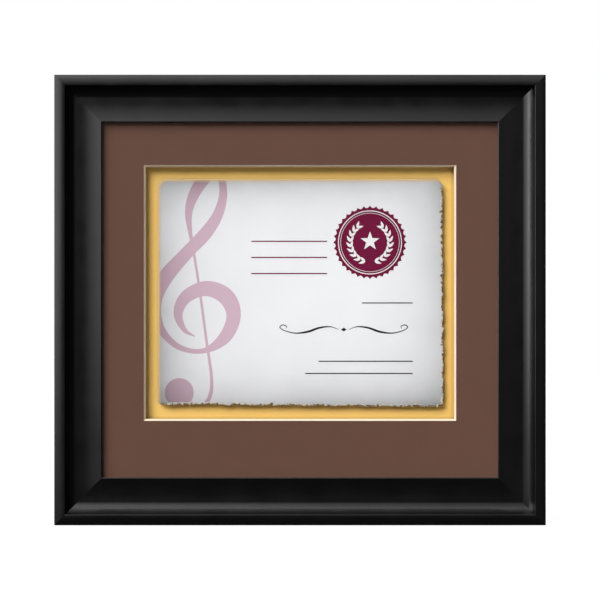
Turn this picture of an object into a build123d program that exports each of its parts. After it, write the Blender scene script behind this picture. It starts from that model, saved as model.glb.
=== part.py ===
from build123d import *
from math import acos, asin, cos, degrees, radians, sin
import os

# Certificate frame in millimetres: X to the right, Y back towards the wall, Z up.
# The origin is the middle of the frame, on the wall that its two bumpers touch.

# Certificate sheet, raised on a smaller pad
certificate_width = 254.0
certificate_height = 203.2
certificate_thickness = 0.8
certificate_corner_radius = 4.0
pad_inset = 15.0
pad_thickness = 4.8

# Glass and boards, from front to back
glass_thickness = 2.0
glass_edge_chamfer = 0.3
glass_gap = 0.05
mat_thickness = 1.8
spacer_thickness = 8.0
spacer_width = 24.0
backing_mat_thickness = 1.4
backing_board_thickness = 3.0
board_corner_chamfer = 1.0
package_clearance = 1.0
rear_clearance = 0.2

# What shows of the two mats, with a 45 degree bevel round the window
reveal = 11.6
bevel_width = mat_thickness
mat_border_side = 37.4
mat_border_top = 38.1
mat_border_bottom = 50.8

# Moulding: a rounded lip, then a steep scoop that runs into a long hollow rising to the sight edge
rail_width = 42.3
rabbet_width = 6.35
sight_lip = 3.2
sight_round = 0.8
outer_edge_round = 0.45
lip_width = 9.5
lip_outer_slope = 25.0
lip_inner_slope = 8.0
lip_edge_round = 0.5
scoop_width = 5.4
scoop_top_slope = 70.0
scoop_foot_slope = 43.0
cove_radius = 8.2
cove_exit_slope = 3.5
sight_rise_slope = 14.0

# V-nails across the back of each mitre
v_nail_insets = (14.0, 28.0)
v_nail_leg = 7.0
v_nail_thickness = 0.6
v_nail_depth = 10.0
v_nail_clearance = 0.05

# Pan-head screws
screw_diameter = 3.0
screw_point = 3.0
screw_head_diameter = 6.6
screw_head_height = 2.0
screw_head_round = 0.9
recess_span = 3.6
recess_width = 0.8
recess_depth = 1.1
pilot_clearance = 0.05
pilot_spare_depth = 0.5

# Turn buttons on the back of the rails
button_thickness = 1.0
button_gap = 0.1
button_hub_radius = 5.5
button_tip_radius = 4.0
button_pivot_inset = 10.0
button_overlap = 12.0
button_bore_clearance = 0.05
button_edge_round = 0.3
button_rib_width = 2.4
button_rib_height = 0.6
button_rib_end_space = 1.5
button_screw_length = 12.0
long_rail_button_offset = 95.0

# Strap hangers with swinging D-rings
hanger_drop = 100.0
strap_width = 10.0
strap_thickness = 0.8
strap_length = 30.0
strap_end_flat = 1.0
strap_fold_gap = 0.1
strap_bend_radius = 3.0
strap_screw_drop = 22.0
strap_screw_length = 14.0
ring_wire_diameter = 2.3
ring_bar_clearance = 0.1
ring_side_play = 0.5
ring_corner_radius = 2.5
ring_side_length = 4.0
ring_rest_gap = 0.2

# Wall bumpers on the bottom rail
bumper_diameter = 12.7
bumper_height = 5.0
bumper_round = 3.0
bumper_from_end = 60.0
bumper_inset = 18.0

# Sizes that follow
window_width = certificate_width + 2 * reveal
window_height = certificate_height + 2 * reveal
sight_width = window_width + 2 * (bevel_width + mat_border_side)
sight_height = window_height + 2 * bevel_width + mat_border_top + mat_border_bottom
window_centre_z = (mat_border_bottom - mat_border_top) / 2
package_width = sight_width + 2 * (rabbet_width - package_clearance)
package_height = sight_height + 2 * (rabbet_width - package_clearance)
outer_width = sight_width + 2 * rail_width
outer_height = sight_height + 2 * rail_width

# Heights in front of the back of the rails
board_rear = rear_clearance
backing_mat_rear = board_rear + backing_board_thickness
spacer_rear = backing_mat_rear + backing_mat_thickness
mat_rear = spacer_rear + spacer_thickness
mat_front = mat_rear + mat_thickness
glass_rear = mat_front + glass_gap
rabbet_depth = glass_rear + glass_thickness
sight_front = rabbet_depth + sight_lip

# The moulding's arcs: the scoop eases into the cove, and the hollow turns up from that to the sight edge
scoop_top = radians(scoop_top_slope)
scoop_foot = radians(scoop_foot_slope)
fall = radians(cove_exit_slope)
rise = radians(sight_rise_slope)
hollow_end = rail_width - sight_round * (1 + sin(rise))
hollow_start = lip_width + scoop_width + cove_radius * (sin(scoop_foot) - sin(fall))
hollow_radius = (hollow_end - hollow_start) / (sin(fall) + sin(rise))
scoop_radius = scoop_width / (sin(scoop_top) - sin(scoop_foot))
cove_end_front = sight_front - hollow_radius * (cos(fall) - cos(rise))
scoop_foot_front = cove_end_front + cove_radius * (cos(fall) - cos(scoop_foot))
lip_front = scoop_foot_front + scoop_radius * (cos(scoop_foot) - cos(scoop_top))
lip_outer = radians(lip_outer_slope)
lip_inner = radians(lip_inner_slope)
lip_radius = lip_width / (sin(lip_outer) + sin(lip_inner))
wall_front = lip_front - lip_radius * (cos(lip_inner) - cos(lip_outer))

# Hardware places
rabbet_edge = rail_width - rabbet_width
button_pivot = rabbet_edge - button_pivot_inset
button_arm = button_pivot_inset + button_overlap - button_tip_radius
button_seat = button_thickness + 2 * button_gap
hanger_x = (outer_width - rabbet_edge) / 2
hanger_z = outer_height / 2 - hanger_drop
strap_top = 2 * strap_thickness + strap_fold_gap
ring_wire_radius = ring_wire_diameter / 2
ring_pivot = strap_thickness + ring_bar_clearance + ring_wire_radius
ring_bar_half = strap_width / 2 + ring_side_play
ring_half_width = ring_bar_half + ring_corner_radius
bumper_x = outer_width / 2 - bumper_from_end
bumper_z = bumper_inset - outer_height / 2

# The ring hangs against the strap, whose edges its bow crosses
bow_centre = ring_corner_radius + ring_side_length
bow_at_strap_edge = bow_centre + (ring_half_width**2 - (strap_width / 2) ** 2) ** 0.5
ring_rest_offset = strap_top + ring_rest_gap + ring_wire_radius - ring_pivot
ring_rest_angle = asin(ring_rest_offset / bow_at_strap_edge)

FRONT = Vector(0, -1, 0)
REAR = Vector(0, 1, 0)
BACK_CENTRE = Vector(0, -bumper_height, 0)


class FrameSide:
    """One side of the frame: the way inwards, the way along its rail and the middle of its outer edge."""

    def __init__(self, name, inward, reach, length, button_offsets):
        self.name = name
        self.inward = Vector(*inward)
        self.along = self.inward.cross(FRONT)
        self.middle = BACK_CENTRE - self.inward * reach
        self.length = length
        self.button_offsets = button_offsets

    def point(self, along, inset):
        """A point on the rail's back, from the middle of its outer edge."""
        return self.middle + self.along * along + self.inward * inset


half_width = outer_width / 2
half_height = outer_height / 2
pair = (-long_rail_button_offset, long_rail_button_offset)
sides = [
    FrameSide("top", (0, 0, -1), half_height, outer_width, pair),
    FrameSide("bottom", (0, 0, 1), half_height, outer_width, pair),
    FrameSide("left", (1, 0, 0), half_width, outer_height, (0,)),
    FrameSide("right", (-1, 0, 0), half_width, outer_height, (0,)),
]

button_seats = [(s, s.point(offset, button_pivot)) for s in sides for offset in s.button_offsets]
hanger_seats = {
    name: BACK_CENTRE + Vector(hand * hanger_x, 0, hanger_z) for name, hand in (("left", -1), ("right", 1))
}
strap_screw_seats = [seat - Vector(0, 0, strap_screw_drop) for seat in hanger_seats.values()]


def level(height):
    """A plane at a height in front of the rails' back, facing the front, with X across and Z up."""
    return Plane(BACK_CENTRE + FRONT * height, x_dir=(1, 0, 0), z_dir=FRONT)


def flat(point):
    """A point on the rails' back in that plane's own two directions."""
    return (point.X, point.Z)


def save(builder, name):
    builder.part.label = name
    export_step(builder.part, f"parts/{name}.step")


os.makedirs("parts", exist_ok=True)


# The rail's section: first coordinate in from the outer edge, second forward from the back
with BuildSketch() as moulding:
    with BuildLine():
        outer_wall = Line((0, 0), (0, wall_front))
        lip_start = (cos(lip_outer), sin(lip_outer))
        lip = JernArc(outer_wall @ 1, lip_start, lip_radius, -lip_outer_slope - lip_inner_slope)
        scoop_start = (cos(scoop_top), -sin(scoop_top))
        scoop = JernArc(lip @ 1, scoop_start, scoop_radius, scoop_top_slope - scoop_foot_slope)
        cove = JernArc(scoop @ 1, scoop % 1, cove_radius, scoop_foot_slope - cove_exit_slope)
        hollow = JernArc(cove @ 1, cove % 1, hollow_radius, cove_exit_slope + sight_rise_slope)
        sight_edge = JernArc(hollow @ 1, hollow % 1, sight_round, -90 - sight_rise_slope)
        Polyline(
            sight_edge @ 1,
            (rail_width, rabbet_depth),
            (rabbet_edge, rabbet_depth),
            (rabbet_edge, 0),
            (0, 0),
        )
    make_face()
    for corner, radius in ((outer_wall @ 1, outer_edge_round), (lip @ 1, lip_edge_round)):
        fillet(moulding.vertices().sort_by_distance(corner)[0], radius)


def v_nail_outlines(thickness):
    """Two V shapes across each mitre, pointing at the sight corner, with one leg in each rail."""
    with BuildSketch() as outlines:
        for hand in (-1, 1):
            for up in (-1, 1):
                for inset in v_nail_insets:
                    x = hand * (half_width - inset)
                    z = up * (half_height - inset)
                    with BuildLine() as legs:
                        Polyline((x + hand * v_nail_leg, z), (x, z), (x, z + up * v_nail_leg))
                    trace(legs.line, line_width=thickness)
    return outlines.sketch


# Mitred rails
def make_rail(side):
    with BuildPart() as rail:
        with BuildSketch(Plane(side.middle, x_dir=side.inward, z_dir=side.along)):
            add(moulding.sketch)
        extrude(amount=side.length / 2, both=True)
        for end in (-1, 1):
            corner = side.point(end * side.length / 2, 0)
            split(bisect_by=Plane(corner, z_dir=side.inward + side.along * end), keep=Keep.BOTTOM)
        with BuildSketch(level(0)):
            add(v_nail_outlines(v_nail_thickness + 2 * v_nail_clearance))
        extrude(amount=v_nail_depth + v_nail_clearance, mode=Mode.SUBTRACT)
        pilots = [
            ([seat for _, seat in button_seats], button_screw_length - button_seat),
            (strap_screw_seats, strap_screw_length - strap_top),
        ]
        for seats, depth in pilots:
            with BuildSketch(level(0)):
                with Locations(*[flat(seat) for seat in seats]):
                    Circle(screw_diameter / 2 + pilot_clearance)
            extrude(amount=depth + pilot_spare_depth, mode=Mode.SUBTRACT)
    return rail


for side in sides:
    save(make_rail(side), f"{side.name}_rail")

with BuildPart() as corner_v_nails:
    with BuildSketch(level(0)):
        add(v_nail_outlines(v_nail_thickness))
    extrude(amount=v_nail_depth)
save(corner_v_nails, "corner_v_nails")


# Glass, mats, spacers and boards
def make_sheet(rear, thickness, width, height, centre_z=0.0, corner_radius=0.0):
    """A flat sheet with its rear face at a height in front of the rails' back."""
    with BuildPart() as sheet:
        with BuildSketch(level(rear)):
            with Locations((0, centre_z)):
                if corner_radius:
                    RectangleRounded(width, height, corner_radius)
                else:
                    Rectangle(width, height)
        extrude(amount=thickness)
    return sheet


with BuildPart() as glazing:
    with BuildSketch(level(glass_rear)):
        Rectangle(package_width, package_height)
    extrude(amount=glass_thickness)
    chamfer(glazing.edges(), glass_edge_chamfer)
save(glazing, "glazing")

with BuildPart() as window_mat:
    with BuildSketch(level(mat_rear)):
        Rectangle(package_width, package_height)
    extrude(amount=mat_thickness)
    with BuildSketch(level(mat_rear)):
        with Locations((0, window_centre_z)):
            Rectangle(window_width, window_height)
    with BuildSketch(level(mat_front)):
        with Locations((0, window_centre_z)):
            Rectangle(window_width + 2 * bevel_width, window_height + 2 * bevel_width)
    loft(mode=Mode.SUBTRACT)
save(window_mat, "window_mat")

side_spacer_height = package_height - 2 * spacer_width
strips = {
    "top": (0, (package_height - spacer_width) / 2, package_width, spacer_width),
    "bottom": (0, (spacer_width - package_height) / 2, package_width, spacer_width),
    "left": ((spacer_width - package_width) / 2, 0, spacer_width, side_spacer_height),
    "right": ((package_width - spacer_width) / 2, 0, spacer_width, side_spacer_height),
}
for name, (x, z, width, height) in strips.items():
    with BuildPart() as mat_spacer:
        with BuildSketch(level(spacer_rear)):
            with Locations((x, z)):
                Rectangle(width, height)
        extrude(amount=spacer_thickness)
    save(mat_spacer, f"{name}_mat_spacer")

backing_mat = make_sheet(backing_mat_rear, backing_mat_thickness, package_width, package_height)
save(backing_mat, "backing_mat")

float_pad = make_sheet(
    spacer_rear,
    pad_thickness,
    certificate_width - 2 * pad_inset,
    certificate_height - 2 * pad_inset,
    window_centre_z,
)
save(float_pad, "float_pad")

certificate = make_sheet(
    spacer_rear + pad_thickness,
    certificate_thickness,
    certificate_width,
    certificate_height,
    window_centre_z,
    certificate_corner_radius,
)
save(certificate, "certificate")

with BuildPart() as backing_board:
    with BuildSketch(level(board_rear)):
        Rectangle(package_width, package_height)
    extrude(amount=backing_board_thickness)
    chamfer(backing_board.edges().filter_by(Axis.Y), board_corner_chamfer)
save(backing_board, "backing_board")


# Turn buttons and screws
def make_turn_button(side, seat):
    """A stamped arm with a pressed rib, pivoting on its screw and lapping over the backing board."""
    seat_plane = Plane(seat, x_dir=side.inward, z_dir=REAR).offset(button_gap)
    rib_start = screw_head_diameter / 2 + button_rib_end_space
    rib_end = button_arm + button_tip_radius - button_rib_end_space
    with BuildPart() as button:
        with BuildSketch(seat_plane):
            Circle(button_hub_radius)
            with Locations((button_arm, 0)):
                Circle(button_tip_radius)
            make_hull()
        extrude(amount=button_thickness)
        fillet(button.faces().sort_by(Axis.Y)[-1].edges(), button_edge_round)
        with BuildSketch(seat_plane.offset(button_thickness)):
            with Locations(((rib_start + rib_end) / 2, 0)):
                SlotOverall(rib_end - rib_start, button_rib_width)
        extrude(amount=button_rib_height)
        fillet(button.faces().sort_by(Axis.Y)[-1].edges(), button_edge_round)
        with BuildSketch(seat_plane):
            Circle(screw_diameter / 2 + button_bore_clearance)
        extrude(amount=button_thickness, mode=Mode.SUBTRACT)
    return button


for side, seat in button_seats:
    turn_button = make_turn_button(side, seat)
    if len(side.button_offsets) == 1:
        name = f"{side.name}_turn_button"
    else:
        end = "left" if seat.X < 0 else "right"
        name = f"{side.name}_{end}_turn_button"
    save(turn_button, name)


def make_screws(seats, head_seat, length):
    """Pan-head screws driven in from the back, with their heads seated at a height behind the rails."""
    head_top = head_seat + screw_head_height
    with BuildPart() as screws:
        for seat in seats:
            with BuildSketch(Plane(seat, x_dir=(1, 0, 0), z_dir=(0, 0, 1))) as section:
                with BuildLine():
                    Polyline(
                        (0, head_top),
                        (screw_head_diameter / 2, head_top),
                        (screw_head_diameter / 2, head_seat),
                        (screw_diameter / 2, head_seat),
                        (screw_diameter / 2, head_seat - length + screw_point),
                        (0, head_seat - length),
                        close=True,
                    )
                make_face()
                fillet(section.vertices().sort_by(Axis.X)[-2:].sort_by(Axis.Y)[-1], screw_head_round)
            revolve(axis=Axis(seat, REAR))
            with BuildSketch(Plane(seat, x_dir=(1, 0, 0), z_dir=REAR).offset(head_top)):
                Rectangle(recess_span, recess_width)
                Rectangle(recess_width, recess_span)
            extrude(amount=-recess_depth, mode=Mode.SUBTRACT)
    return screws


save(make_screws([seat for _, seat in button_seats], button_seat, button_screw_length), "turn_button_screws")
save(make_screws(strap_screw_seats, strap_top, strap_screw_length), "hanger_screws")


# Strap hangers and D-rings
def make_strap(seat):
    """A strip folded round the ring's bar, with its two layers lying on the rail."""
    loop_radius = ring_wire_radius + ring_bar_clearance + strap_thickness / 2
    layer_step = 2 * (ring_wire_radius + ring_bar_clearance) - strap_fold_gap
    bend = degrees(acos(1 - layer_step / (2 * strap_bend_radius)))
    outer_edge = seat - Vector(strap_width / 2, 0, 0)
    with BuildPart() as strap:
        with BuildSketch(Plane(outer_edge, x_dir=REAR, z_dir=(1, 0, 0))):
            with BuildLine() as fold:
                under = Line((strap_thickness / 2, -strap_length), (strap_thickness / 2, 0))
                loop = JernArc(under @ 1, under % 1, loop_radius, -180)
                inward_bend = JernArc(loop @ 1, loop % 1, strap_bend_radius, -bend)
                level_bend = JernArc(inward_bend @ 1, inward_bend % 1, strap_bend_radius, bend)
                Line(level_bend @ 1, ((level_bend @ 1).X, -strap_length))
            trace(fold.line, line_width=strap_thickness)
        extrude(amount=strap_width)
        tail_corners = strap.edges().filter_by(Axis.Y).group_by(Axis.Z)[0]
        fillet(tail_corners, (strap_width - strap_end_flat) / 2)
        with BuildSketch(Plane(seat - Vector(0, 0, strap_screw_drop), x_dir=(1, 0, 0), z_dir=REAR)):
            Circle(screw_diameter / 2 + pilot_clearance)
        extrude(amount=strap_top, mode=Mode.SUBTRACT)
    return strap


def make_ring(seat):
    """A D-ring hanging from its straight bar, leaning back against the strap."""
    lean = ring_rest_angle
    ring_plane = Plane(seat + REAR * ring_pivot, x_dir=(1, 0, 0), z_dir=(0, cos(lean), sin(lean)))
    with BuildPart() as ring:
        with BuildLine(ring_plane) as bend:
            bar = Line((-ring_bar_half, 0), (ring_bar_half, 0))
            first_corner = JernArc(bar @ 1, (1, 0), ring_corner_radius, 90)
            first_side = Line((ring_half_width, ring_corner_radius), (ring_half_width, bow_centre))
            bow = JernArc((ring_half_width, bow_centre), (0, 1), ring_half_width, 180)
            second_side = Line((-ring_half_width, bow_centre), (-ring_half_width, ring_corner_radius))
            second_corner = JernArc((-ring_half_width, ring_corner_radius), (0, -1), ring_corner_radius, 90)
        with BuildSketch(Plane(bar @ 0.5, z_dir=bar % 0.5)):
            Circle(ring_wire_radius)
        sweep(path=bend.line)
    return ring


for name, seat in hanger_seats.items():
    save(make_strap(seat), f"{name}_hanger_strap")
    save(make_ring(seat), f"{name}_hanger_ring")

# Wall bumpers
with BuildPart() as wall_bumpers:
    with BuildSketch(level(0)):
        with Locations((-bumper_x, bumper_z), (bumper_x, bumper_z)):
            Circle(bumper_diameter / 2)
    extrude(amount=-bumper_height)
    fillet(wall_bumpers.edges().filter_by(GeomType.CIRCLE).group_by(Axis.Y)[-1], bumper_round)
save(wall_bumpers, "wall_bumpers")
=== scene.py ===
"""Looks of the certificate frame: materials, the torn sheet and its print, light and camera."""

import math

import bpy
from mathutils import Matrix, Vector, noise
from mathutils.geometry import delaunay_2d_cdt


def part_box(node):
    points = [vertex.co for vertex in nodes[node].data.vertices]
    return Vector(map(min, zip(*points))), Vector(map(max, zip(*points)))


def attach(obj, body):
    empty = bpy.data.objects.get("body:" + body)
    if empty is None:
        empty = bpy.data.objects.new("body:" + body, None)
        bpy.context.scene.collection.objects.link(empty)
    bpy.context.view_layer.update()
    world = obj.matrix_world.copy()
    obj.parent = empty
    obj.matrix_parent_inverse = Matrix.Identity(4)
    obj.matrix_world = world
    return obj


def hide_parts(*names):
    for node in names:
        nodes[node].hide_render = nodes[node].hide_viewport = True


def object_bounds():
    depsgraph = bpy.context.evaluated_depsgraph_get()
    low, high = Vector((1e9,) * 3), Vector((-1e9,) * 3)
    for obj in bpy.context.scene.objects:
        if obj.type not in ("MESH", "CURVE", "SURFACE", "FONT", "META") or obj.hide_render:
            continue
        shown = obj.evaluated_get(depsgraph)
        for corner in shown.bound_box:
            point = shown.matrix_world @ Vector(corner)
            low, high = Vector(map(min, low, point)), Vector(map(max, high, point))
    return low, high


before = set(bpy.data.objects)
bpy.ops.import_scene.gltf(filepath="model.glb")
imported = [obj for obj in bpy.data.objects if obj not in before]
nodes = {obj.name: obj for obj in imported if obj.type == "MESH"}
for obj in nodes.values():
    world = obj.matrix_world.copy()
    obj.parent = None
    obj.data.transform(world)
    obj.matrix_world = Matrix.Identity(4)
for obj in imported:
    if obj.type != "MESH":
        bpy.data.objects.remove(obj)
cad_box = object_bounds()

MM = 0.001
FRONT = Vector((0, -1, 0))
WHITE = (1, 1, 1, 1)

# Places read from the frame, in metres
frame_low, frame_high = cad_box
half_width = frame_high.x
half_height = frame_high.z
glass_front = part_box("glazing")[0].y
sheet_low, sheet_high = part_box("certificate")
sheet_centre = (sheet_low + sheet_high) / 2
sheet_half_width = (sheet_high.x - sheet_low.x) / 2
sheet_half_height = (sheet_high.z - sheet_low.z) / 2
sheet_front = sheet_low.y
sheet_thickness = sheet_high.y - sheet_low.y
mat_corners = [v.co for v in nodes["window_mat"].data.vertices]
window_right = min(corner.x for corner in mat_corners if corner.x > 0)
window_bottom = max(corner.z for corner in mat_corners if corner.z < 0)

# Gold mat: painted shade at the window's right and bottom, painted shadow at the sheet's left and
# top
window_shade_width = {"right": 4.4 * MM, "bottom": 2.2 * MM}
window_shade_level = 0.72
sheet_shadow_width = 4 * MM
sheet_shadow_share = 0.42

# The torn sheet isn't quite square. Its edge is ragged at the right and below, and soft elsewhere
tear_step = 0.25 * MM
tear_wave = 9 * MM
tear_nibble = 2.2 * MM
tear_wave_share = 0.3
tear_depth = {"ragged": 2.2 * MM, "soft": 0.3 * MM}
tear_seeds = {"wave": 1.7, "nibble": 5.3, "fibre": 9.1}
fibre_width = {"ragged": 1.5 * MM, "soft": 0.8 * MM}
fibre_nibble = tear_nibble * 0.8
fibre_least, fibre_spread = 0.5, 0.9
tuft_length = 3 * MM
tuft_reach = 4.0
tuft_start, tuft_end = 2.5, 2.8
soft_shift = 0.6 * MM
soft_corner = 12 * MM
soft_end, ragged_start = 3 * MM, 9 * MM
feather_depth = (-0.8 * MM, 2.8 * MM)
feather_share = 0.85
right_shift = {"top": 0.9 * MM, "bottom": 2.2 * MM}
bottom_shift = {"left": -1.6 * MM, "right": 0.9 * MM}

# The print, with places from the middle of the sheet
ink_thickness = 0.05 * MM
print_margin = {"left": 0.4 * MM, "right": 3.0 * MM, "top": 0.1 * MM, "bottom": 3.4 * MM}
staff_space = 34 * MM
clef_centre = (-87.3 * MM, -20.1 * MM)
seal_centre = (63.0 * MM, 45.5 * MM)
seal_radius = 33.0 * MM
heading_left, heading_right = -44 * MM, 24.5 * MM
heading_heights = (46.5 * MM, 32 * MM, 17.5 * MM)
heading_weight = 1.1 * MM
text_right = 101.6 * MM
text_lengths = (46 * MM, 85 * MM, 97 * MM)
text_heights = (-9 * MM, -61.5 * MM, -72.5 * MM)
text_weight = 1.0 * MM
flourish_centre = (39.4 * MM, -33.0 * MM)


# Material tools


class Nodes:
    """Short calls that add and link the nodes of one tree."""

    def __init__(self, tree):
        self.tree = tree

    def put(self, socket, value):
        """Link a socket to another, or set a constant on it."""
        if isinstance(value, bpy.types.NodeSocket):
            self.tree.links.new(value, socket)
        else:
            socket.default_value = value

    def node(self, kind, *inputs, **settings):
        """Add a node, with its inputs in the order of its sockets. None leaves one as it is."""
        made = self.tree.nodes.new("ShaderNode" + kind)
        for name, value in settings.items():
            setattr(made, name, value)
        for socket, value in zip(made.inputs, inputs):
            if value is not None:
                self.put(socket, value)
        return made

    def math(self, operation, *values):
        """The result of a Math node."""
        return self.node("Math", *values, operation=operation).outputs[0]

    def ramp(self, value, start, end, low=0.0, high=1.0):
        """low up to start, high from end on, and smooth between. start may lie above end."""
        made = self.node("MapRange", value, start, end, low, high, interpolation_type="SMOOTHSTEP")
        return made.outputs["Result"]

    def finish(self, shader):
        """Let a shader node be what the tree gives."""
        output = next(n for n in self.tree.nodes if n.type.startswith("OUTPUT"))
        self.tree.links.new(shader.outputs[0], output.inputs["Surface"])


class Shader(Nodes):
    """A material with a Principled surface."""

    def __init__(self, name, **sockets):
        self.material = bpy.data.materials.new(name)
        self.material.use_nodes = True
        super().__init__(self.material.node_tree)
        self.surface = self.tree.nodes["Principled BSDF"]
        self.set(**sockets)

    def set(self, **sockets):
        """Set or link sockets of the surface, with _ for a space in a name."""
        for name, value in sockets.items():
            self.put(self.surface.inputs[name.replace("_", " ")], value)

    def place(self, stretch=(1, 1, 1)):
        """Where a point is on the piece, in metres, with axes drawn out by a stretch above 1."""
        here = self.node("TexCoord").outputs["Object"]
        shrink = [1 / s for s in stretch]
        return self.node("Mapping", here, None, None, shrink).outputs["Vector"]

    def noise(self, grain, stretch=(1, 1, 1), detail=3.0):
        """Noise from 0 to 1 whose lumps are about one grain across."""
        made = self.node("TexNoise")
        self.put(made.inputs["Vector"], self.place(stretch))
        made.inputs["Scale"].default_value = 1 / grain
        made.inputs["Detail"].default_value = detail
        return made.outputs["Fac"]

    def blend(self, share, first, second, how="MIX"):
        """Mix two colours. The numbers are those of the node's sockets for colours."""
        made = self.node("Mix", data_type="RGBA", blend_type=how)
        sockets = (made.inputs[0], made.inputs[6], made.inputs[7])
        for socket, value in zip(sockets, (share, first, second)):
            self.put(socket, value)
        return made.outputs[2]

    def bump(self, height, depth):
        """Let a height from 0 to 1 stand out by a depth in metres."""
        made = self.node("Bump")
        made.inputs["Distance"].default_value = depth
        self.put(made.inputs["Height"], height)
        self.put(self.surface.inputs["Normal"], made.outputs["Normal"])


def colour(red, green, blue):
    """A colour as a screen shows it, 0 to 255, as the linear light that shaders use."""
    shares = (c / 255 for c in (red, green, blue))
    return (*(s / 12.92 if s < 0.04045 else ((s + 0.055) / 1.055) ** 2.4 for s in shares), 1)


def tint(of, share):
    """A colour made lighter or darker by a share."""
    return (*(c * share for c in of[:3]), 1)


# Materials

# The span in which most values of a noise lie, and a narrower one for a sharper pattern
NOISE_SPAN = (0.3, 0.7)
SHARP_SPAN = (0.35, 0.65)


def lacquer(name, along, smooth, rough):
    """Black lacquer over a close-grained moulding, with a faint orange peel."""
    near_black = (0.0022, 0.0021, 0.0023, 1)
    grain_share = 0.35
    shader = Shader(name, Base_Color=near_black, Specular_IOR_Level=0.12)
    shader.set(Roughness=shader.ramp(shader.noise(24 * MM), *NOISE_SPAN, smooth, rough))
    grain = shader.noise(0.35 * MM, along)
    peel = shader.noise(1.4 * MM)
    shader.bump(shader.math("ADD", peel, shader.math("MULTIPLY", grain, grain_share)), 0.012 * MM)
    return shader.material


def raw_wood(name, along, across, outer):
    """Bare moulding wood, with the lacquer's overspray along the outer edge."""
    tan, pale = colour(196, 160, 116), colour(222, 190, 148)
    pore_brown, overspray = colour(140, 104, 70), colour(24, 22, 21)
    pore_span, pore_share = (0.58, 0.75), 0.5
    spray_wander, spray_fade = 3 * MM, (-1.2 * MM, 0.4 * MM)
    shader = Shader(name, Roughness=0.72, Specular_IOR_Level=0.3)
    figure = shader.noise(6 * MM, along, detail=6)
    pores = shader.noise(0.5 * MM, along, detail=2)
    wood = shader.blend(shader.ramp(figure, *NOISE_SPAN), tan, pale)
    wood = shader.blend(shader.ramp(pores, *pore_span, 0, pore_share), wood, pore_brown)
    here = shader.node("SeparateXYZ", shader.place()).outputs[across]
    inside = shader.math("SUBTRACT", outer, shader.math("ABSOLUTE", here))
    wander = shader.math("MULTIPLY", shader.noise(5 * MM, along), -spray_wander)
    spray = shader.ramp(shader.math("ADD", inside, wander), *spray_fade, 1, 0)
    shader.set(Base_Color=shader.blend(spray, wood, overspray))
    shader.bump(shader.math("ADD", figure, pores), 0.06 * MM)
    return shader.material


def pane():
    """Clear glass: what is behind it shows, with a weak reflection that grows at a slant."""
    clear_tint = (0.992, 0.993, 0.992, 1)
    gloss_roughness, coated_index = 0.03, 1.18
    shader = Shader("picture_glass")
    clear = shader.node("BsdfTransparent", clear_tint)
    gloss = shader.node("BsdfGlossy", WHITE, gloss_roughness)
    outside = shader.math("SUBTRACT", 1, shader.node("NewGeometry").outputs["Backfacing"])
    share = shader.math("MULTIPLY", outside, shader.node("Fresnel", coated_index).outputs[0])
    mixed = shader.node("MixShader", share, clear.outputs[0], gloss.outputs[0])
    shader.tree.nodes.remove(shader.surface)
    shader.finish(mixed)
    return shader.material


def matboard(name, face, mottle, painted_shading=False):
    """Uncoated mat board with a fine felt tooth. The shaded one gets painted shade and painted
    shadow.
    """
    sheet_shadow_grey = colour(150, 149, 140)
    shader = Shader(name, Roughness=0.92, Specular_IOR_Level=0.03)
    cloud = shader.ramp(shader.noise(14 * MM, detail=4), *NOISE_SPAN)
    tooth = shader.noise(0.5 * MM, detail=4)
    base = shader.blend(cloud, tint(face, 1 - mottle), tint(face, 1 + mottle))
    base = shader.blend(shader.ramp(tooth, *SHARP_SPAN), tint(face, 1 - 2 * mottle), base)
    if painted_shading:
        # Painted shade: a thin dark line along the window's right and bottom edges
        base = shader.blend(1.0, base, painted_window_shade(shader), "MULTIPLY")
        # Painted shadow: a soft grey in the gold beside the sheet's left and top edges
        base = shader.blend(painted_sheet_shadow(shader), base, sheet_shadow_grey)
    shader.set(Base_Color=base)
    shader.bump(tooth, 0.05 * MM)
    return shader.material


def painted_window_shade(shader):
    """A painted shade: a thin dark line along the right and bottom edges of the window."""
    here = shader.node("SeparateXYZ", shader.place())
    from_right = shader.math("SUBTRACT", window_right, here.outputs["X"])
    from_bottom = shader.math("SUBTRACT", here.outputs["Z"], window_bottom)
    right = shader.ramp(from_right, 0, window_shade_width["right"], window_shade_level, 1)
    bottom = shader.ramp(from_bottom, 0, window_shade_width["bottom"], window_shade_level, 1)
    return shader.math("MULTIPLY", right, bottom)


def painted_sheet_shadow(shader):
    """The share of painted grey shadow in the gold close outside the sheet's left and top edges."""
    depths = edge_depths(shader)
    share = shader.ramp(soft_depth(shader), -sheet_shadow_width, 0, 0, sheet_shadow_share)
    for side in ("right", "bottom"):
        share = shader.math("MULTIPLY", share, shader.ramp(depths[side], 0, sheet_shadow_width))
    return share


def board_core(name, face):
    """The cut edge of a board, with the thin lines of its plies."""
    ply_stretch, ply_shade = (60, 1, 60), 0.93
    shader = Shader(name, Roughness=0.9, Specular_IOR_Level=0.12)
    plies = shader.noise(0.4 * MM, ply_stretch)
    shade = shader.ramp(plies, *SHARP_SPAN)
    shader.set(Base_Color=shader.blend(shade, tint(face, ply_shade), face))
    shader.bump(plies, 0.03 * MM)
    return shader.material


def foam_board():
    """White foam board with fine cells."""
    cell_size, cell_span = 0.6 * MM, (0.1, 0.6)
    shader = Shader("foam_core", Roughness=0.85, Specular_IOR_Level=0.2)
    cells = shader.node("TexVoronoi", shader.place())
    cells.inputs["Scale"].default_value = 1 / cell_size
    shade = shader.ramp(cells.outputs["Distance"], *cell_span)
    shader.set(Base_Color=shader.blend(shade, colour(226, 224, 218), colour(246, 245, 241)))
    shader.bump(cells.outputs["Distance"], 0.04 * MM)
    return shader.material


# The sheet's shade along each edge: how much light it takes at the upper or left end, how much at
# the other end, and how far in it falls to about a third
EDGE_SHADE = {
    "left": (0.34, 0.63, 25.5 * MM),
    "right": (0.43, 0.28, 20.5 * MM),
    "top": (0.60, 0.38, 15.3 * MM),
    "bottom": (0.37, 0.68, 16.5 * MM),
}


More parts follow.
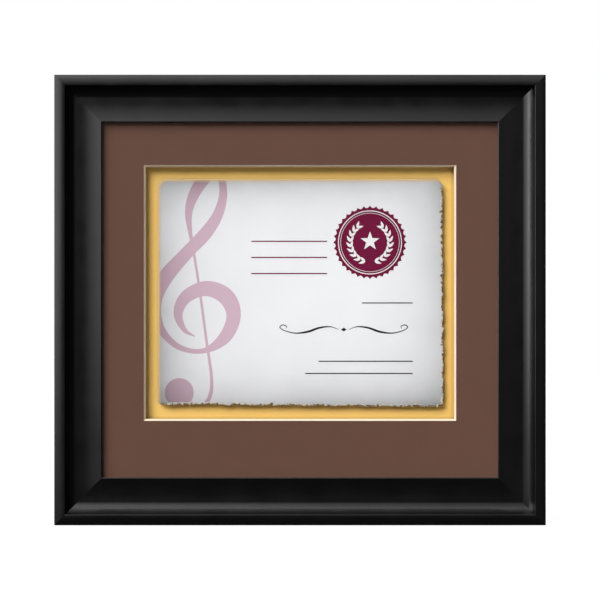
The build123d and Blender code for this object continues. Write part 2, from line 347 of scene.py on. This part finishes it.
def edge_depths(shader):
    """How far a point lies inside each edge of the sheet."""
    here = shader.node("SeparateXYZ", shader.place())
    across = shader.math("SUBTRACT", here.outputs["X"], sheet_centre.x)
    up = shader.math("SUBTRACT", here.outputs["Z"], sheet_centre.z)
    return {
        "left": shader.math("ADD", across, sheet_half_width),
        "right": shader.math("SUBTRACT", sheet_half_width, across),
        "top": shader.math("SUBTRACT", sheet_half_height, up),
        "bottom": shader.math("ADD", up, sheet_half_height),
    }


def sheet_shade(shader):
    """The grey that the sheet is aged with, which is deepest along its edges."""
    wander, cloud_shade = 8 * MM, 0.965
    depths = edge_depths(shader)
    drift = shader.math("MULTIPLY_ADD", shader.noise(30 * MM), wander, -wander / 2)
    shade = shader.ramp(shader.noise(40 * MM, detail=5), *NOISE_SPAN, cloud_shade, 1.0)
    for side, (first, last, reach) in EDGE_SHADE.items():
        upright = side in ("left", "right")
        along = depths["top" if upright else "left"]
        length = 2 * (sheet_half_height if upright else sheet_half_width)
        darkness = shader.math("MULTIPLY_ADD", along, (last - first) / length, first)
        depth = shader.math("ADD", depths[side], drift)
        fade = shader.math("EXPONENT", shader.math("DIVIDE", depth, -reach))
        taken = shader.math("MULTIPLY", fade, darkness)
        shade = shader.math("MULTIPLY", shade, shader.math("SUBTRACT", 1, taken))
    return shade


def soft_depth(shader):
    """How far a point lies inside the sheet's left and top edges and their rounded corner."""
    depths = edge_depths(shader)
    return shader.math("SMOOTH_MIN", depths["left"], depths["top"], soft_corner)


def feathered(shader, stock):
    """The sheet's colour, shaded, and so thin at the left and top that gold shows through."""
    gold_through = colour(194, 162, 106)
    shaded = shader.blend(1.0, stock, sheet_shade(shader), "MULTIPLY")
    share = shader.ramp(soft_depth(shader), *feather_depth, feather_share, 0)
    return shader.blend(share, shaded, gold_through)


def sheet_stock(name, face, sheen=0.04):
    """The sheet, or an ink on it: the colour with the sheet's shade and fibres."""
    speckle = 0.965
    shader = Shader(name, Roughness=0.85, Specular_IOR_Level=sheen)
    fibres = shader.noise(0.7 * MM, detail=5)
    speckled = shader.blend(shader.ramp(fibres, *NOISE_SPAN), tint(face, speckle), face)
    shader.set(Base_Color=feathered(shader, speckled))
    shader.bump(fibres, 0.02 * MM)
    return shader.material


def deckle():
    """The torn edge: cream tufts, dark notches that paint its shadow, and worn paper at the left
    and top.
    """
    dull_cream, bright_cream = colour(186, 172, 146), colour(228, 218, 198)
    painted_shadow_brown, worn_paper = colour(112, 90, 56), colour(236, 234, 230)
    shader = Shader("deckle_fibre", Roughness=0.95, Specular_IOR_Level=0.1)
    fibres = shader.noise(0.35 * MM, detail=5)
    cream = shader.blend(shader.ramp(fibres, *NOISE_SPAN), dull_cream, bright_cream)
    here = shader.node("SeparateXYZ", shader.place())
    height = shader.math("SUBTRACT", sheet_high.y, here.outputs["Y"])
    rise = shader.math("DIVIDE", height, sheet_thickness)
    tufts = shader.math("MULTIPLY_ADD", shader.noise(tuft_length, detail=2), tuft_reach, rise)
    # The dark brown notches between the tufts are painted shadow along the torn edge
    ragged = shader.blend(shader.ramp(tufts, tuft_start, tuft_end), painted_shadow_brown, cream)
    soft = feathered(shader, worn_paper)
    softness = shader.ramp(soft_depth(shader), soft_end, ragged_start, 1, 0)
    shader.set(Base_Color=shader.blend(softness, ragged, soft))
    shader.bump(fibres, 0.1 * MM)
    return shader.material


def hardboard():
    """Hardboard's back: pressed brown fibre with the print of the screen it was pressed on."""
    dark_fibre, fibre, fleck = colour(98, 66, 42), colour(140, 98, 64), colour(176, 134, 92)
    fibre_span, fleck_span, fleck_share = (0.35, 0.68), (0.62, 0.72), 0.55
    thread_step = 5.6 * MM
    shader = Shader("pressed_fibre", Roughness=0.68, Specular_IOR_Level=0.3)
    fibres = shader.noise(1.2 * MM, (1, 1, 2.5), detail=6)
    flecks = shader.noise(3.5 * MM, (3, 1, 1), detail=5)
    brown = shader.blend(shader.ramp(fibres, *fibre_span), dark_fibre, fibre)
    brown = shader.blend(shader.ramp(flecks, *fleck_span, 0, fleck_share), brown, fleck)
    shader.set(Base_Color=brown)
    warp, weft = (
        shader.node("TexWave", shader.place(), 1 / thread_step, bands_direction=way).outputs["Fac"]
        for way in ("X", "Z")
    )
    weave = shader.math("MULTIPLY", warp, weft)
    shader.bump(shader.math("ADD", weave, fibres), 0.12 * MM)
    return shader.material


def plated(name, metal, smooth, rough):
    """Plated steel, with a cloudy finish and fine rubbing marks."""
    cloud_shade, worn_span = 0.86, (0.7, 1.3)
    shader = Shader(name, Metallic=1.0)
    cloud = shader.noise(3 * MM, detail=5)
    rub = shader.noise(0.25 * MM, (1, 1, 6))
    shade = shader.ramp(cloud, *NOISE_SPAN)
    shader.set(Base_Color=shader.blend(shade, tint(metal, cloud_shade), metal))
    shader.set(Roughness=shader.ramp(shader.math("ADD", cloud, rub), *worn_span, smooth, rough))
    shader.bump(rub, 0.006 * MM)
    return shader.material


def rubber():
    """Dark rubber with a fine grain."""
    smooth, rough = 0.6, 0.8
    shader = Shader("bumper_rubber", Specular_IOR_Level=0.35)
    grain = shader.noise(0.4 * MM)
    shade = shader.ramp(grain, *NOISE_SPAN)
    shader.set(Base_Color=shader.blend(shade, colour(44, 43, 42), colour(58, 57, 55)))
    shader.set(Roughness=shader.ramp(grain, *NOISE_SPAN, smooth, rough))
    shader.bump(grain, 0.03 * MM)
    return shader.material


# Flat print: closed slabs of ink on the sheet


def smooth_line(points, steps=14):
    """A line through points of any number of values each, rounded as a Catmull-Rom spline."""
    points = [Vector(p) for p in points]
    ends = [points[0] * 2 - points[1], *points, points[-1] * 2 - points[-2]]
    line = []
    for before, start, end, after in zip(ends, ends[1:], ends[2:], ends[3:]):
        for i in range(steps):
            t = i / steps
            pull = (end - before) * t + (before * 2 - start * 5 + end * 4 - after) * t**2
            line.append(start + (pull + (start * 3 - before - end * 3 + after) * t**3) / 2)
    return [*line, points[-1]]


def pen_stroke(points):
    """The triangles of a stroke whose points are each (across, up, width of the pen)."""
    line = smooth_line(points)
    sides = []
    for i, here in enumerate(line):
        ahead = line[min(i + 1, len(line) - 1)].xy - line[max(i - 1, 0)].xy
        out = Vector((-ahead.y, ahead.x)).normalized() * here.z / 2
        sides.append((here.xy + out, here.xy - out))
    return [t for (a, b), (c, d) in zip(sides, sides[1:]) for t in ([a, b, c], [b, d, c])]


def disc(centre, radius, scallops=0, depth=0.0, sides=180):
    """A round outline, or one with a scalloped edge."""
    outline = []
    for i in range(sides):
        angle = 2 * math.pi * i / sides
        reach = radius - depth * abs(math.sin(scallops * angle / 2))
        outline.append(Vector(centre) + Vector((math.cos(angle), math.sin(angle))) * reach)
    return outline


def star(centre, radius, inner, points=5):
    """A star with one point up."""
    outline = []
    for i in range(2 * points):
        angle = math.pi / 2 + math.pi * i / points
        reach = inner if i % 2 else radius
        outline.append(Vector(centre) + Vector((math.cos(angle), math.sin(angle))) * reach)
    return outline


def leaf(root, angle, length, width, sides=10, fullness=0.8):
    """A pointed leaf that grows from its root at an angle."""
    along = Vector((math.cos(angle), math.sin(angle)))
    side = Vector((-along.y, along.x))
    edge = [(i / sides, math.sin(math.pi * (i / sides) ** fullness) / 2) for i in range(sides + 1)]
    lower = [Vector(root) + along * length * t - side * width * w for t, w in edge]
    upper = [Vector(root) + along * length * t + side * width * w for t, w in edge[-2:0:-1]]
    return lower + upper


def rule(left, right, up, weight, cap_steps=6):
    """A thin ruled line with rounded ends."""
    r = weight / 2
    caps = [(right - r, -90), (left + r, 90)]
    return [
        Vector((x + r * math.cos(a), up + r * math.sin(a)))
        for x, first in caps
        for a in (math.radians(first + 180 * i / cap_steps) for i in range(cap_steps + 1))
    ]


def counter_clockwise(outlines, least_area=1e-12):
    """The same outlines, each turned to run counter-clockwise, without those of no area."""
    turned = []
    for outline in outlines:
        following = outline[1:] + outline[:1]
        area = sum(a.x * b.y - b.x * a.y for a, b in zip(outline, following))
        if abs(area) > least_area:
            turned.append(outline if area > 0 else outline[::-1])
    return turned


def printed(name, inked, cleared, ink):
    """One closed slab of ink: what lies in an inked outline, on the page and in no cleared one."""
    left, right = print_margin["left"] - sheet_half_width, sheet_half_width - print_margin["right"]
    low, high = print_margin["bottom"] - sheet_half_height, sheet_half_height - print_margin["top"]
    page = [Vector(corner) for corner in ((left, low), (right, low), (right, high), (left, high))]
    cleared, inked = counter_clockwise(cleared), counter_clockwise(inked)
    outlines = [page, *cleared, *inked]
    first_ink = 1 + len(cleared)
    corners, faces = [], []
    for outline in outlines:
        faces.append(range(len(corners), len(corners) + len(outline)))
        corners.extend(outline)
    only_inside, weld = 1, 1e-7
    spots, _, cells, _, _, sources = delaunay_2d_cdt(corners, [], faces, only_inside, weld)
    kept = [
        cell
        for cell, inside in zip(cells, sources)
        if 0 in inside and max(inside) >= first_ink and not any(0 < s < first_ink for s in inside)
    ]
    used = sorted({i for cell in kept for i in cell})
    number = {old: new for new, old in enumerate(used)}
    kept = [[number[i] for i in cell] for cell in kept]
    count = len(used)
    levels = (sheet_front - ink_thickness, sheet_front)
    vertices = [
        (sheet_centre.x + spots[i].x, level, sheet_centre.z + spots[i].y)
        for level in levels
        for i in used
    ]
    edges = {(a, b) for cell in kept for a, b in zip(cell, cell[1:] + cell[:1])}
    walls = [(a, a + count, b + count, b) for a, b in sorted(edges) if (b, a) not in edges]
    backs = [[i + count for i in reversed(cell)] for cell in kept]
    build_piece(name, vertices, [*kept, *backs, *walls], [ink])


def build_piece(name, vertices, faces, materials, which=None):
    """A mesh piece that rides on the frame. which gives each face's material."""
    mesh = bpy.data.meshes.new(name)
    mesh.from_pydata(vertices, [], faces)
    for material in materials:
        mesh.materials.append(material)
    if which:
        mesh.polygons.foreach_set("material_index", which)
    mesh.update()
    piece = bpy.data.objects.new(name, mesh)
    bpy.context.scene.collection.objects.link(piece)
    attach(piece, "frame")
    return piece


# The sheet

# Its corners: across, up, the angle at which the way out starts to turn, radius
SHEET_CORNERS = [
    (1, -1, -90, 4.5 * MM),
    (1, 1, 0, 6.5 * MM),
    (-1, 1, 90, 7.0 * MM),
    (-1, -1, 180, 3.5 * MM),
]

# The slope of its torn edge, from the outermost line in: share of the thickness, share of the bare
# fibre's width
TEAR_SLOPE = [(0.3, 0.0), (0.55, 0.15), (0.9, 0.75), (1.0, 1.0)]

# The materials of its faces
PAPER, FIBRE = range(2)


def sheet_edge():
    """Points round the sheet's outline, each with the way out of the sheet there."""
    middles = [
        Vector((x * (sheet_half_width - radius), z * (sheet_half_height - radius)))
        for x, z, _, radius in SHEET_CORNERS
    ]
    edge = []
    for i, (_, _, first, radius) in enumerate(SHEET_CORNERS):
        arc_steps = round(radius * math.pi / 2 / tear_step)
        for step in range(arc_steps + 1):
            angle = math.radians(first + 90 * step / arc_steps)
            out = Vector((math.cos(angle), math.sin(angle)))
            edge.append((middles[i] + out * radius, out))
        following = (i + 1) % len(SHEET_CORNERS)
        *_, next_radius = SHEET_CORNERS[following]
        start, end = edge[-1][0], middles[following] + out * next_radius
        run_steps = round((end - start).length / tear_step)
        edge.extend((start.lerp(end, step / run_steps), out) for step in range(1, run_steps))
    return edge


def between(low, high, share):
    """The value at a share of the way from low to high, and no further than either."""
    return low + (high - low) * min(1, max(0, share))


def edge_shift(spot, out):
    """How far the sheet's edge stands out past its size at a spot."""
    rightward = 0.5 + spot.x / (2 * sheet_half_width)
    downward = 0.5 - spot.y / (2 * sheet_half_height)
    right = max(0, out.x) * between(right_shift["top"], right_shift["bottom"], downward)
    below = max(0, -out.y) * between(bottom_shift["left"], bottom_shift["right"], rightward)
    return right + below + soft_shift * max(0, -out.x, out.y)


def roughness_of(spot, size, seed):
    """Noise from 0 to 1 along the torn edge, with lumps about one size long."""
    contrast, dimension, lacunarity, octaves = 1.4, 0.6, 2.0, 4
    at = Vector((spot.x / size, seed, spot.y / size))
    return between(0, 1, 0.5 + contrast * noise.fractal(at, dimension, lacunarity, octaves))


def torn_sheet(paper, fibre):
    """The certificate's sheet. Its lower and right edges are torn ragged, and the others softly."""
    corner_raggedness = 0.1
    rings = [[] for _ in range(1 + len(TEAR_SLOPE))]
    for spot, out in sheet_edge():
        ragged = corner_raggedness + out.x - out.y
        tear = between(tear_depth["soft"], tear_depth["ragged"], ragged)
        bare = between(fibre_width["soft"], fibre_width["ragged"], ragged)
        wave = roughness_of(spot, tear_wave, tear_seeds["wave"])
        nibble = roughness_of(spot, tear_nibble, tear_seeds["nibble"])
        lump = tear_wave_share * wave + (1 - tear_wave_share) * nibble
        bite = tear * (lump - 0.5) - edge_shift(spot, out)
        tuft = roughness_of(spot, fibre_nibble, tear_seeds["fibre"])
        shown = bare * (fibre_least + fibre_spread * tuft)
        slope = [(rise, bite + share * shown) for rise, share in TEAR_SLOPE]
        for ring, (rise, inset) in zip(rings, [(0.0, bite + bare / 2), *slope]):
            at = spot - out * inset
            y = sheet_high.y - rise * sheet_thickness
            ring.append((sheet_centre.x + at.x, y, sheet_centre.z + at.y))
    count = len(rings[0])
    vertices = [v for ring in rings for v in ring]
    faces, which = [], []
    for level in range(len(rings) - 1):
        low, high = level * count, (level + 1) * count
        for i in range(count):
            j = (i + 1) % count
            faces.append((low + i, low + j, high + j, high + i))
            which.append(FIBRE)
    faces.append(list(range(count))[::-1])
    faces.append(list(range(len(vertices) - count, len(vertices))))
    which += [PAPER, PAPER]
    sheet = build_piece("torn_sheet", vertices, faces, [paper, fibre], which)
    for polygon in sheet.data.polygons:
        polygon.use_smooth = polygon.material_index == FIBRE
    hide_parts("certificate")


# A treble clef in staff spaces, from the curl round the second line to the tail: across, up, width
# of the pen
CLEF_STROKE = [
    (-0.22, -0.56, 0.03),
    (-0.50, -0.38, 0.13),
    (-0.66, 0.04, 0.24),
    (-0.46, 0.48, 0.33),
    (0.08, 0.71, 0.40),
    (0.60, 0.50, 0.44),
    (0.81, 0.00, 0.38),
    (0.58, -0.58, 0.33),
    (0.02, -0.94, 0.14),
    (-0.64, -0.84, 0.15),
    (-1.13, -0.34, 0.22),
    (-1.27, 0.34, 0.34),
    (-1.02, 0.97, 0.40),
    (-0.45, 1.63, 0.34),
    (0.05, 2.15, 0.34),
    (0.38, 2.64, 0.28),
    (0.53, 3.16, 0.22),
    (0.49, 3.60, 0.19),
    (0.32, 3.84, 0.20),
    (0.06, 3.66, 0.33),
    (-0.24, 3.20, 0.29),
    (-0.38, 2.72, 0.20),
    (-0.34, 2.20, 0.11),
    (-0.24, 1.62, 0.07),
    (-0.08, 0.60, 0.07),
    (0.08, -0.60, 0.07),
    (0.22, -1.60, 0.08),
    (0.20, -2.08, 0.10),
    (0.02, -2.38, 0.13),
    (-0.32, -2.46, 0.18),
    (-0.60, -2.30, 0.25),
]
# The ball at the tail's end: across, up, radius
CLEF_BALL = (-0.63, -2.05, 0.385)


def on_clef(across, up):
    """A place on the clef, as a place on the sheet."""
    return Vector(clef_centre) + Vector((across, up)) * staff_space


def clef_outlines():
    """The clef's stroke and the ball at the end of its tail."""
    stroke = [(*on_clef(x, z), pen * staff_space) for x, z, pen in CLEF_STROKE]
    ball_x, ball_z, ball_radius = CLEF_BALL
    return pen_stroke(stroke) + [disc(on_clef(ball_x, ball_z), ball_radius * staff_space, sides=72)]


# The seal, in shares of its radius: scalloped edge, rings (radius, width), star and wreath
SEAL_SCALLOPS, SCALLOP_DEPTH = 36, 0.06
SEAL_RINGS = [(0.86, 0.025), (0.80, 0.012)]
STAR_RISE, STAR_RADIUS, STAR_INNER = 0.03, 0.27, 0.108
WREATH_RADIUS, LEAF_LENGTH, LEAF_WIDTH = 0.54, 0.19, 0.07
# The wreath's leaves: pairs on each side, degrees from its foot to the first pair, degrees between
# pairs, lean in radians
LEAF_PAIRS, FIRST_LEAF, LEAF_STEP, LEAF_LEAN = 9, 14, 15.5, 0.5


def seal_outline():
    """The seal's scalloped edge."""
    return disc(seal_centre, seal_radius, SEAL_SCALLOPS, seal_radius * SCALLOP_DEPTH, sides=360)


def circle_line(centre, radius, width, sides=120):
    """A thin ring, as quads."""
    inner = disc(centre, radius - width / 2, sides=sides)
    outer = disc(centre, radius + width / 2, sides=sides)
    turned = list(range(1, sides)) + [0]
    return [[inner[i], outer[i], outer[j], inner[j]] for i, j in enumerate(turned)]


def seal_cuts():
    """What is left bare in the seal: two rings, a star and a wreath."""
    centre = Vector(seal_centre)
    cuts = []
    for radius, width in SEAL_RINGS:
        cuts += circle_line(centre, seal_radius * radius, seal_radius * width)
    star_centre = centre + Vector((0, seal_radius * STAR_RISE))
    cuts.append(star(star_centre, seal_radius * STAR_RADIUS, seal_radius * STAR_INNER))
    for side in (-1, 1):
        for i in range(LEAF_PAIRS):
            turn = math.radians(-90 + side * (FIRST_LEAF + LEAF_STEP * i))
            root = centre + Vector((math.cos(turn), math.sin(turn))) * (seal_radius * WREATH_RADIUS)
            for lean in (LEAF_LEAN, -LEAF_LEAN):
                way = turn + side * (math.pi / 2 - lean)
                cuts.append(leaf(root, way, seal_radius * LEAF_LENGTH, seal_radius * LEAF_WIDTH))
    return cuts


# The flourish in millimetres: the lozenge in its middle, and one half from there out: across, up,
# width of the pen
LOZENGE = ((-2.6, 0), (0, -1.7), (2.6, 0), (0, 1.7))
FLOURISH_HALF = [
    (4.5, 0.0, 0.3),
    (12.0, 2.6, 0.9),
    (22.0, 1.6, 1.7),
    (32.0, -1.8, 1.9),
    (43.0, -3.2, 1.1),
    (53.0, -1.0, 0.8),
    (57.5, 2.0, 0.8),
    (55.0, 4.2, 0.9),
    (51.5, 2.9, 0.7),
    (52.2, 0.9, 0.4),
]


def flourish_outlines():
    """A pen flourish: two like scrolls either side of a lozenge."""
    centre = Vector(flourish_centre)
    outlines = [[centre + Vector(at) * MM for at in LOZENGE]]
    for side in (-1, 1):
        half = [
            (centre.x + side * x * MM, centre.y + z * MM, pen * MM) for x, z, pen in FLOURISH_HALF
        ]
        outlines += pen_stroke(half)
    return outlines


# Dress the CAD nodes


def dress(node, slot_name, *materials):
    """Give a CAD node its materials, and return its mesh."""
    mesh = nodes[node].data
    mesh.materials.clear()
    for material in materials:
        mesh.materials.append(material)
    for polygon in mesh.polygons:
        polygon.material_index = 0
    return mesh


RAIL_WAYS = {
    "top_rail": Vector((0, 0, 1)),
    "bottom_rail": Vector((0, 0, -1)),
    "left_rail": Vector((-1, 0, 0)),
    "right_rail": Vector((1, 0, 0)),
}
SATIN, BARE, DULL = range(3)

# Each lacquer's roughness, from and to, and how far the grain is drawn out along a rail
satin_roughness, dull_roughness = (0.21, 0.27), (0.5, 0.6)
level_grain, upright_grain = (40, 1, 1), (1, 1, 40)

# Cosines that sort the faces: a rail's outer side is above the first, its bare wood at most the
# second, and a board's front above the third
outer_side, bare_most, board_front = 0.97, 0.3, 0.95
glass_slack = 0.01 * MM


def rail_finishes(name, along, across, outer):
    """Satin lacquer for the moulding, bare wood behind, and dull lacquer on the outer side."""
    satin = lacquer("satin_lacquer_" + name, along, *satin_roughness)
    dull = lacquer("dull_lacquer_" + name, along, *dull_roughness)
    return satin, raw_wood("bare_wood_" + name, along, across, outer), dull


finishes = {
    "level": rail_finishes("level", level_grain, "Z", half_height),
    "upright": rail_finishes("upright", upright_grain, "X", half_width),
}
for rail, outward in RAIL_WAYS.items():
    mesh = dress(rail, "lacquered_wood", *finishes["level" if outward.z else "upright"])
    for polygon in mesh.polygons:
        facing_out = polygon.normal.dot(outward)
        behind_glass = polygon.center.y > glass_front - glass_slack
        if facing_out > outer_side:
            polygon.material_index = DULL
        elif behind_glass and facing_out <= bare_most:
            polygon.material_index = BARE
        else:
            polygon.material_index = SATIN

brown_face = matboard("brown_mat_face", colour(99, 71, 60), mottle=0.03)
gold_face = matboard("gold_mat_face", colour(250, 205, 115), mottle=0.015, painted_shading=True)
cream_core = board_core("cream_board_core", colour(222, 203, 176))
for board, slot_name, face in (
    ("window_mat", "brown_matboard", brown_face),
    ("backing_mat", "gold_matboard", gold_face),
):
    mesh = dress(board, slot_name, cream_core, face)
    for polygon in mesh.polygons:
        polygon.material_index = int(polygon.normal.dot(FRONT) > board_front)

foam = foam_board()
spacers = [side + "_mat_spacer" for side in ("top", "bottom", "left", "right")]
for piece in (*spacers, "float_pad"):
    dress(piece, "foam_board", foam)

zinc = plated("zinc_plate", (0.66, 0.68, 0.70, 1), smooth=0.26, rough=0.42)
nickel = plated("nickel_plate", (0.70, 0.66, 0.59, 1), smooth=0.16, rough=0.28)
for piece in nodes:
    if piece.endswith(("_turn_button", "_screws", "_strap", "_nails")):
        dress(piece, "zinc_plated_steel", zinc)
for piece in ("left_hanger_ring", "right_hanger_ring"):
    dress(piece, "nickel_plated_steel", nickel)
dress("glazing", "glass", pane())
dress("backing_board", "hardboard", hardboard())
dress("wall_bumpers", "bumper_rubber", rubber())

torn_sheet(sheet_stock("sheet_paper", colour(234, 233, 234), sheen=0.2), deckle())
mauve_ink = sheet_stock("mauve_ink", colour(209, 178, 191))
burgundy_ink = sheet_stock("burgundy_ink", colour(110, 15, 55))
black_ink = sheet_stock("black_ink", colour(34, 32, 33))

printed("clef_print", clef_outlines(), [], mauve_ink)
printed("seal_print", [seal_outline()], seal_cuts(), burgundy_ink)
heading_rules = [rule(heading_left, heading_right, up, heading_weight) for up in heading_heights]
printed("heading_rules", heading_rules, [], burgundy_ink)
text_rules = [
    rule(text_right - length, text_right, up, text_weight)
    for length, up in zip(text_lengths, text_heights)
]
printed("text_rules", text_rules, [], black_ink)
printed("flourish_print", flourish_outlines(), [], black_ink)


# Stage: light, floor and camera

# The camera: how far it is from a plane close to the frame's front, and the width it shows there
camera_distance = 3.0
photo_width = 0.5373
camera_plane = frame_low.y + 2 * MM

# Light from all round, a key in front and a fill behind
ambient_light = 0.12
ambient_colour = (0.82, 0.97, 1.22, 1)
key_strength = 4.95
key_softness = math.radians(48)
key_from = Vector((-0.8, -1.0, 1.1))
fill_strength = 2.5
fill_softness = math.radians(40)
fill_from = Vector((0.6, 1.0, 0.9))
sun_distance = 3

# The softboxes: their glow falls off towards the camera, and each fades along one axis. A fade is
# that axis, its dark end, its bright end and the share left at the dark end
softbox_glow = {"left": 37.0, "top": 20.5}
softbox_falloff, softbox_falloff_power = 12.0, 0.68
softbox_depth, softbox_length = 4.4, 1.8
softbox_away, softbox_back = 0.95, 0.05
left_softbox_height, top_softbox_across = 0.3, -0.3
left_fade = ("Z", -0.28, 0.06, 0.0)
top_fade = ("X", 0.75, -0.45, 0.45)

# What the moulding mirrors of the studio, and where that changes. The fades go by how far back a
# direction points, from -1 ahead of the frame to 1 behind it, and the rise by how far up
studio_dimness = {"side": 0.03, "front": 0.3, "above": 0.95}
behind_fade = (0.1, 0.5)
ahead_fade = (-0.4, -0.95)
patch_outer_fade = (-0.6, -0.88)
patch_inner_fade = (-0.997, -0.975)
patch_rise = (-0.07, 0.08)

# The floor, with its paint in other light and the paint that takes the visible shadow
floor_reach = 6.0
floor_gap = 0.1 * MM
floor_paint = (0.2, 0.2, 0.2, 1)
floor_shadow_paint = (0.1, 0.1, 0.1, 1)
floor_glow = 0.93
floor_fade = (0, 0.5)


def seen_directly(graph):
    """Sockets of 1 or 0: seen by the camera, also through glass, and seen so or in a reflection."""
    rays = graph.node("LightPath").outputs
    in_view = graph.math("MAXIMUM", rays["Is Camera Ray"], rays["Is Transmission Ray"])
    return in_view, graph.math("MAXIMUM", in_view, rays["Is Glossy Ray"])


def make_world():
    """White to the eye. Gloss mirrors white behind the frame and a dim studio in front of it."""
    world = bpy.data.worlds.new("studio")
    bpy.context.scene.world = world
    world.use_nodes = True
    graph = Nodes(world.node_tree)
    in_view, shown = seen_directly(graph)
    way = graph.node("SeparateXYZ", graph.node("TexCoord").outputs["Generated"])
    back, up = way.outputs["Y"], way.outputs["Z"]
    behind = graph.ramp(back, *behind_fade)
    ahead = graph.ramp(back, *ahead_fade, studio_dimness["side"], studio_dimness["front"])
    patch_outer = graph.ramp(back, *patch_outer_fade)
    patch_inner = graph.ramp(back, *patch_inner_fade)
    round_camera = graph.math("MULTIPLY", patch_outer, patch_inner)
    upper = graph.ramp(up, *patch_rise, 0, studio_dimness["above"])
    above = graph.math("MULTIPLY", round_camera, upper)
    mirrored = graph.math("MAXIMUM", behind, graph.math("ADD", ahead, above))
    white = graph.node("Background", WHITE, graph.math("MAXIMUM", in_view, mirrored))
    ambient = graph.node("Background", ambient_colour, ambient_light)
    graph.finish(graph.node("MixShader", shown, ambient.outputs[0], white.outputs[0]))


def make_floor():
    """A pale floor under the frame. It looks white, with the frame's shadow left in it."""
    far, level = floor_reach, frame_low.z - floor_gap
    corners = [(-far, -far, level), (far, -far, level), (far, far, level), (-far, far, level)]
    mesh = bpy.data.meshes.new("floor")
    mesh.from_pydata(corners, [], [(0, 1, 2, 3)])
    floor = bpy.data.objects.new("floor", mesh)
    bpy.context.scene.collection.objects.link(floor)
    shader = Shader("floor_paint", Base_Color=floor_paint, Roughness=0.9, Specular_IOR_Level=0.0)
    in_view, shown = seen_directly(shader)
    here = shader.node("SeparateXYZ", shader.node("NewGeometry").outputs["Position"])
    mirrored = shader.ramp(here.outputs["Y"], *floor_fade, studio_dimness["side"], 1)
    glow = shader.math("MULTIPLY", floor_glow, shader.math("MAXIMUM", in_view, mirrored))
    shaded = shader.node("BsdfDiffuse", floor_shadow_paint)
    lit = shader.node("Emission", WHITE, glow)
    white = shader.node("AddShader", lit.outputs[0], shaded.outputs[0])
    shader.finish(shader.node("MixShader", shown, shader.surface.outputs[0], white.outputs[0]))
    mesh.materials.append(shader.material)


def aim(thing, place, target):
    """Put a light or camera in its place and turn it to a target."""
    thing.location = place
    thing.rotation_mode = "QUATERNION"
    thing.rotation_quaternion = (Vector(target) - Vector(place)).to_track_quat("-Z", "Y")


def add_light(name, kind, place, target, energy, **settings):
    """A light that the camera doesn't see."""
    light = bpy.data.lights.new(name, kind)
    light.energy = energy
    for setting, value in settings.items():
        setattr(light, setting, value)
    lamp = bpy.data.objects.new(name, light)
    bpy.context.scene.collection.objects.link(lamp)
    aim(lamp, place, target)
    lamp.visible_camera = False
    return lamp


def add_softbox(name, place, target, glow, size, size_y, fade):
    """A large softbox that only gloss shows. It fades towards the camera and along another axis."""
    # An area light glows with its power over four times its area
    power = 4 * size * size_y * glow
    sides = {"size": size, "size_y": size_y}
    lamp = add_light(name, "AREA", place, target, power, shape="RECTANGLE", **sides)
    lamp.visible_diffuse = False
    lamp.data.use_nodes = True
    graph = Nodes(lamp.data.node_tree)
    here = graph.node("SeparateXYZ", graph.node("NewGeometry").outputs["Position"])
    ahead = graph.math("ABSOLUTE", here.outputs["Y"])
    distance = graph.math("MULTIPLY_ADD", ahead, softbox_falloff, 1)
    near = graph.math("POWER", distance, -softbox_falloff_power)
    axis, dark, bright, least = fade
    along = graph.ramp(here.outputs[axis], dark, bright, least, 1)
    graph.finish(graph.node("Emission", WHITE, graph.math("MULTIPLY", near, along)))


def make_lights():
    """A soft key from the upper left, a fill behind, and softboxes at the left and above."""
    centre = (0, 0, 0)
    key_place, fill_place = key_from * sun_distance, fill_from * sun_distance
    add_light("key", "SUN", key_place, centre, key_strength, angle=key_softness)
    add_light("back_fill", "SUN", fill_place, centre, fill_strength, angle=fill_softness)
    middle = softbox_back - softbox_depth / 2
    up, across = left_softbox_height, top_softbox_across
    left_place, left_target = (-softbox_away, middle, up), (0, middle, up)
    top_place, top_target = (across, middle, softbox_away), (across, middle, 0)
    glow, depth, length = softbox_glow, softbox_depth, softbox_length
    add_softbox("left_softbox", left_place, left_target, glow["left"], depth, length, left_fade)
    add_softbox("top_softbox", top_place, top_target, glow["top"], length, depth, top_fade)


def make_camera():
    """A camera straight in front, far enough for the photo's flat perspective."""
    camera = bpy.data.cameras.new("camera")
    camera.lens = camera.sensor_width * camera_distance / photo_width
    viewer = bpy.data.objects.new("camera", camera)
    bpy.context.scene.collection.objects.link(viewer)
    aim(viewer, (0, camera_plane - camera_distance, 0), (0, 0, 0))
    bpy.context.scene.camera = viewer


make_world()
make_floor()
make_lights()
make_camera()
bpy.context.scene.view_settings.view_transform = "Standard"
